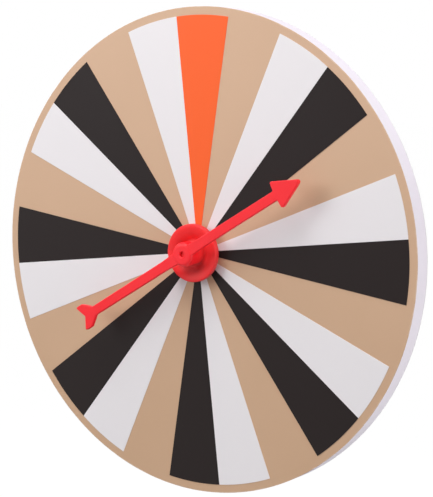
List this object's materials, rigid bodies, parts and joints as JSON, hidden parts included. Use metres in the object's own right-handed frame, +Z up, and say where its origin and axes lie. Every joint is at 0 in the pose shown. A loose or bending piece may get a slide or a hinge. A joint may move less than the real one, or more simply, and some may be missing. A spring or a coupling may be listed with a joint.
{
  "type": "carnival game wheel",
  "caption": "Upright round foam game board with radial coloured fields and a red arrow that spins on a dished hub at its centre.",
  "frame": {"origin": "centre of the flat back of the board, on the arrow's spin axis", "axes": "+Z up with the orange field at the top, +Y out of the flat back, so the face looks along -Y and +X is to the right of someone facing it"},
  "size_m": [0.3048, 0.0312, 0.3048],
  "materials": {
    "white_foam": "matte",
    "white_back": "matte",
    "tan_face": "satin",
    "white_film": "satin",
    "black_film": "satin",
    "orange_film": "satin",
    "red_plastic": "satin"
  },
  "bodies": {
    "board": {"foam_core": "white_foam", "back_sheet": "white_back", "face_sheet": "tan_face", "white_segment_1": "white_film", "white_segment_2": "white_film", "white_segment_3": "white_film", "white_segment_4": "white_film", "white_segment_5": "white_film", "white_segment_6": "white_film", "white_segment_7": "white_film", "white_segment_8": "white_film", "black_segment_1": "black_film", "black_segment_2": "black_film", "black_segment_3": "black_film", "black_segment_4": "black_film", "black_segment_5": "black_film", "black_segment_6": "black_film", "black_segment_7": "black_film", "orange_segment": "orange_film", "hub_base": "red_plastic", "axle_pin": "red_plastic", "rear_nut": "red_plastic"},
    "arrow": {"arrow": "red_plastic"}
  },
  "joints": [
    {"name": "arrow_spin", "type": "hinge", "parent": "board", "child": "arrow", "pos_m": [0, 0, 0], "axis": [0, -1, 0], "continuous": true}
  ]
}
